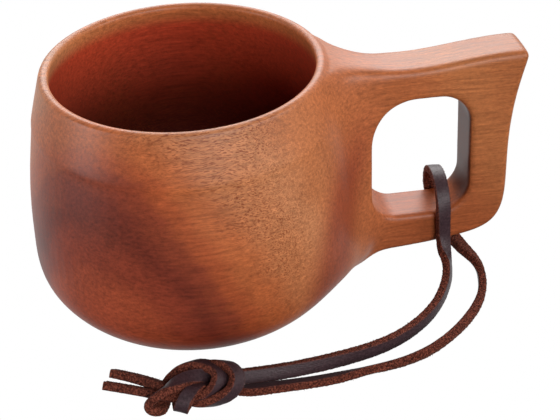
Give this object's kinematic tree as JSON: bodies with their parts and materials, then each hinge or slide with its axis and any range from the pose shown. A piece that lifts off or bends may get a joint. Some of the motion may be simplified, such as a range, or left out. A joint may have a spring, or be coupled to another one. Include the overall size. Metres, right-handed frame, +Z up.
{
  "type": "kuksa wooden cup",
  "caption": "Round-bellied wooden drinking cup carved in one with a pierced handle, with a knotted leather lace looped through the finger hole.",
  "frame": {"origin": "centre of the flat base the cup stands on", "axes": "+Z up out of the mouth, +X out along the handle, -Y towards the side the lace lies on"},
  "size_m": [0.1382, 0.1033, 0.071],
  "materials": {
    "wood": "satin oiled",
    "lace": "satin"
  },
  "bodies": {
    "cup": {"cup": "wood"},
    "lace_loop": {"lace_loop": "lace"},
    "lace_neck": {"lace_front_neck": "lace", "lace_back_neck": "lace"},
    "lace_strand": {"lace_front_strand": "lace", "lace_back_strand": "lace"},
    "lace_end": {"lace_front_end": "lace", "lace_back_end": "lace"},
    "lace_knot": {"lace_knot": "lace"},
    "lace_tail": {"lace_front_tail": "lace", "lace_back_tail": "lace"}
  },
  "joints": [
    {"name": "loop_slide", "type": "slide", "parent": "cup", "child": "lace_loop", "axis": [1, 0, 0], "range_m": [-0.012, 0.003]},
    {"name": "lace_hang", "type": "hinge", "parent": "lace_loop", "child": "lace_neck", "pos_m": [0.0824, -0.0105, 0.0025], "axis": [1, 0, 0], "range_deg": [0, 60]},
    {"name": "lace_sweep", "type": "hinge", "parent": "lace_neck", "child": "lace_strand", "pos_m": [0.0824, -0.019, 0], "axis": [0, 0, 1], "range_deg": [0, 20]},
    {"name": "lace_bend", "type": "hinge", "parent": "lace_strand", "child": "lace_end", "pos_m": [0.0584, -0.0494, 0], "axis": [0, 0, 1], "range_deg": [0, 30]},
    {"name": "knot_turn", "type": "hinge", "parent": "lace_end", "child": "lace_knot", "pos_m": [0.0094, -0.0552, 0], "axis": [0, 0, 1], "range_deg": [0, 25]},
    {"name": "tail_flex", "type": "hinge", "parent": "lace_knot", "child": "lace_tail", "pos_m": [-0.02, -0.0512, 0], "axis": [0, 0, 1], "range_deg": [0, 20]}
  ]
}
